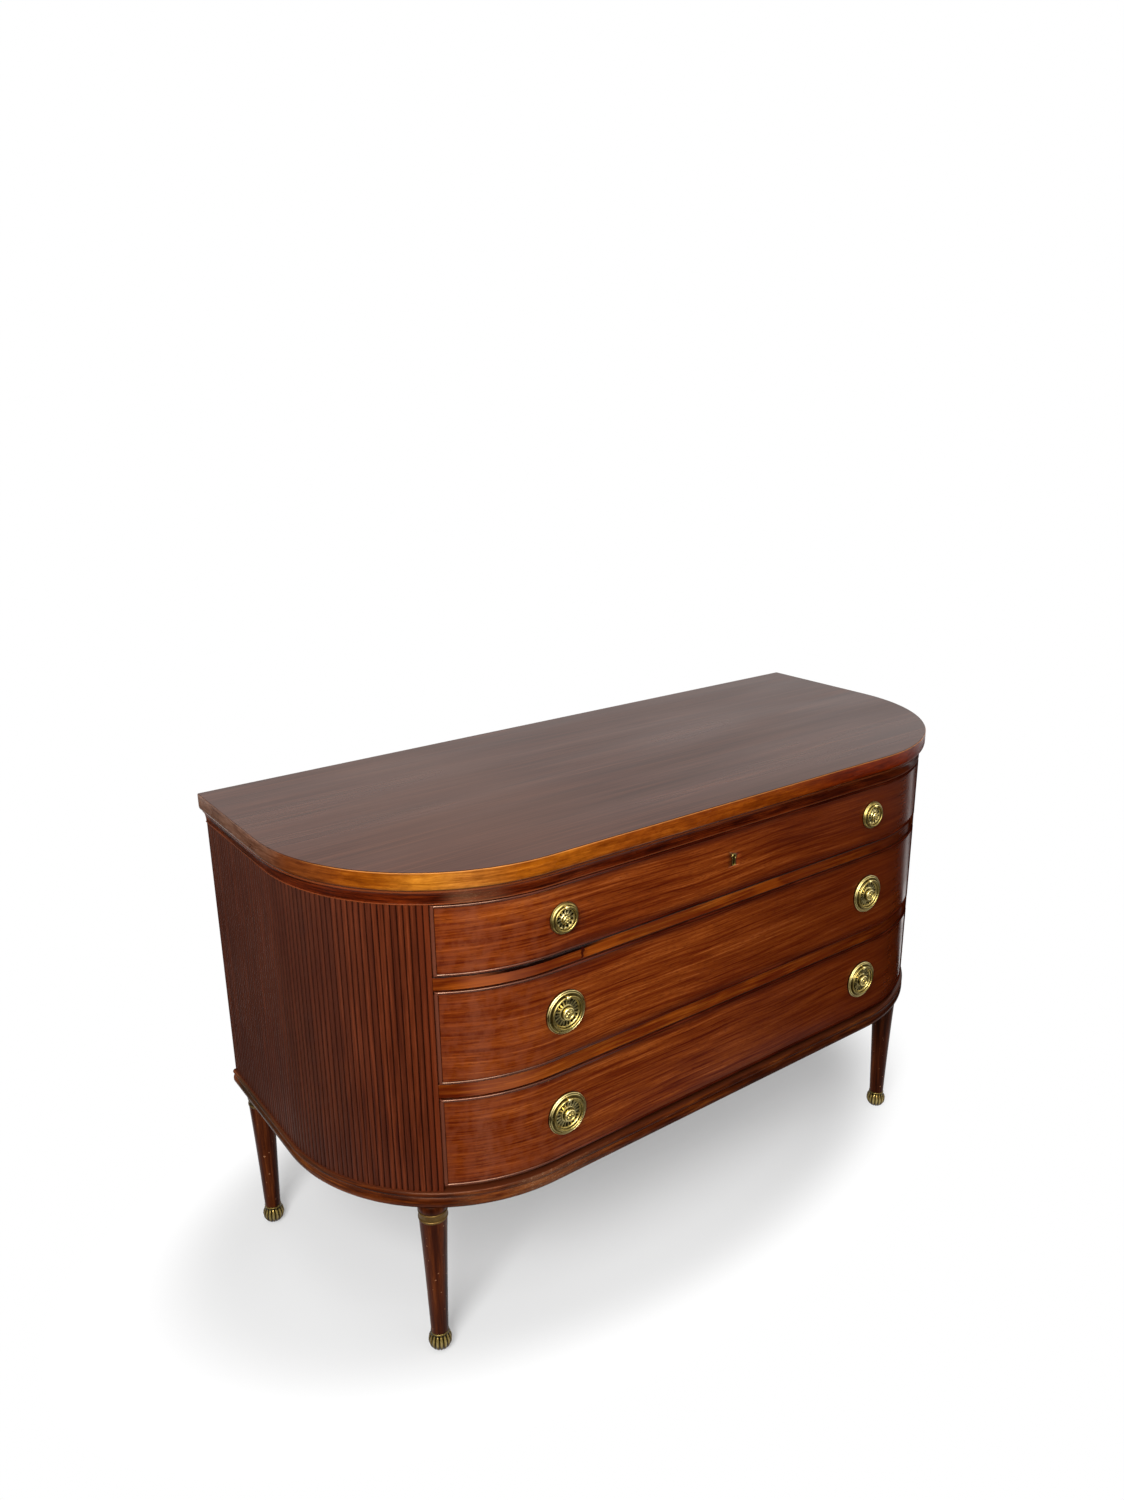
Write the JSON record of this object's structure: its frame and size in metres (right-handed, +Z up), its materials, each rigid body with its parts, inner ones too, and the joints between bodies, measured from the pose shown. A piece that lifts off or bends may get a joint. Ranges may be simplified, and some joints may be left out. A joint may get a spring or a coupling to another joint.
{
  "type": "demilune chest of drawers",
  "caption": "D-shaped mahogany chest of drawers with reeded ends, bowed drawer fronts, ring pulls, a locking top drawer and turned legs on brass ball feet.",
  "frame": {"origin": "on the floor, at the middle of the chest's overall width and depth", "axes": "+X towards the right-hand end, -Y out of the drawer fronts, +Z up"},
  "size_m": [1.2, 0.5044, 0.7464],
  "materials": {
    "top_mahogany": "worn French polish, semi-gloss",
    "lipping_wood": "French polish, semi-gloss",
    "dark_mahogany": "dark French polish, semi-gloss",
    "reeded_mahogany": "French polish dulled in the grooves",
    "rail_mahogany": "French polish, semi-gloss",
    "front_mahogany": "French-polished ribbon-stripe veneer, semi-gloss",
    "leg_mahogany": "worn French polish",
    "deal": "bare planed softwood",
    "aged_brass": "aged lacquered brass, satin",
    "lock_iron": "dark iron, dull"
  },
  "bodies": {
    "carcase": {"foot_front_left": "aged_brass", "leg_collar_front_left": "aged_brass", "leg_front_left": "leg_mahogany", "foot_front_right": "aged_brass", "leg_collar_front_right": "aged_brass", "leg_front_right": "leg_mahogany", "foot_back_left": "aged_brass", "leg_collar_back_left": "aged_brass", "leg_back_left": "leg_mahogany", "foot_back_right": "aged_brass", "leg_collar_back_right": "aged_brass", "leg_back_right": "leg_mahogany", "base_board": "dark_mahogany", "bottom_board": "dark_mahogany", "top_moulding": "dark_mahogany", "reeded_skin_left": "reeded_mahogany", "reeded_skin_right": "reeded_mahogany", "end_wall_left": "deal", "end_wall_right": "deal", "front_post_left": "deal", "front_post_right": "deal", "back_post_left": "deal", "back_post_right": "deal", "back_panel": "deal", "top_frame": "deal", "lower_rail_board": "rail_mahogany", "upper_rail_board": "rail_mahogany", "top_board": "top_mahogany", "top_edge_lipping": "lipping_wood"},
    "drawer_bottom": {"bottom_drawer_front": "front_mahogany", "bottom_drawer_side_left": "deal", "bottom_drawer_side_right": "deal", "bottom_drawer_back": "deal", "bottom_drawer_bottom": "deal", "bottom_pull_plate_left": "aged_brass", "bottom_pull_plate_right": "aged_brass"},
    "bottom_ring_left": {"bottom_pull_ring_left": "aged_brass"},
    "bottom_ring_right": {"bottom_pull_ring_right": "aged_brass"},
    "drawer_middle": {"middle_drawer_front": "front_mahogany", "middle_drawer_side_left": "deal", "middle_drawer_side_right": "deal", "middle_drawer_back": "deal", "middle_drawer_bottom": "deal", "middle_pull_plate_left": "aged_brass", "middle_pull_plate_right": "aged_brass"},
    "middle_ring_left": {"middle_pull_ring_left": "aged_brass"},
    "middle_ring_right": {"middle_pull_ring_right": "aged_brass"},
    "drawer_top": {"top_drawer_front": "front_mahogany", "top_drawer_side_left": "deal", "top_drawer_side_right": "deal", "top_drawer_back": "deal", "top_drawer_bottom": "deal", "top_pull_plate_left": "aged_brass", "top_pull_plate_right": "aged_brass", "keyhole_escutcheon": "aged_brass", "lock_case": "lock_iron"},
    "top_ring_left": {"top_pull_ring_left": "aged_brass"},
    "top_ring_right": {"top_pull_ring_right": "aged_brass"},
    "lock_bolt": {"lock_bolt": "aged_brass"}
  },
  "joints": [
    {"name": "bottom_drawer_slide", "type": "slide", "parent": "carcase", "child": "drawer_bottom", "axis": [0, -1, 0], "range_m": [0, 0.3]},
    {"name": "bottom_ring_left_hinge", "type": "hinge", "parent": "drawer_bottom", "child": "bottom_ring_left", "pos_m": [-0.302, -0.24845, 0.38049], "axis": [-1, 0, 0], "range_deg": [0, 160]},
    {"name": "bottom_ring_right_hinge", "type": "hinge", "parent": "drawer_bottom", "child": "bottom_ring_right", "pos_m": [0.302, -0.24845, 0.38049], "axis": [-1, 0, 0], "range_deg": [0, 160]},
    {"name": "middle_drawer_slide", "type": "slide", "parent": "carcase", "child": "drawer_middle", "axis": [0, -1, 0], "range_m": [0, 0.3]},
    {"name": "middle_ring_left_hinge", "type": "hinge", "parent": "drawer_middle", "child": "middle_ring_left", "pos_m": [-0.302, -0.24845, 0.53629], "axis": [-1, 0, 0], "range_deg": [0, 160]},
    {"name": "middle_ring_right_hinge", "type": "hinge", "parent": "drawer_middle", "child": "middle_ring_right", "pos_m": [0.302, -0.24845, 0.53629], "axis": [-1, 0, 0], "range_deg": [0, 160]},
    {"name": "top_drawer_slide", "type": "slide", "parent": "carcase", "child": "drawer_top", "axis": [0, -1, 0], "range_m": [0, 0.3]},
    {"name": "top_ring_left_hinge", "type": "hinge", "parent": "drawer_top", "child": "top_ring_left", "pos_m": [-0.302, -0.24845, 0.66645], "axis": [-1, 0, 0], "range_deg": [0, 160]},
    {"name": "top_ring_right_hinge", "type": "hinge", "parent": "drawer_top", "child": "top_ring_right", "pos_m": [0.302, -0.24845, 0.66645], "axis": [-1, 0, 0], "range_deg": [0, 160]},
    {"name": "lock_bolt_slide", "type": "slide", "parent": "drawer_top", "child": "lock_bolt", "axis": [0, 0, 1], "range_m": [0, 0.008]}
  ]
}
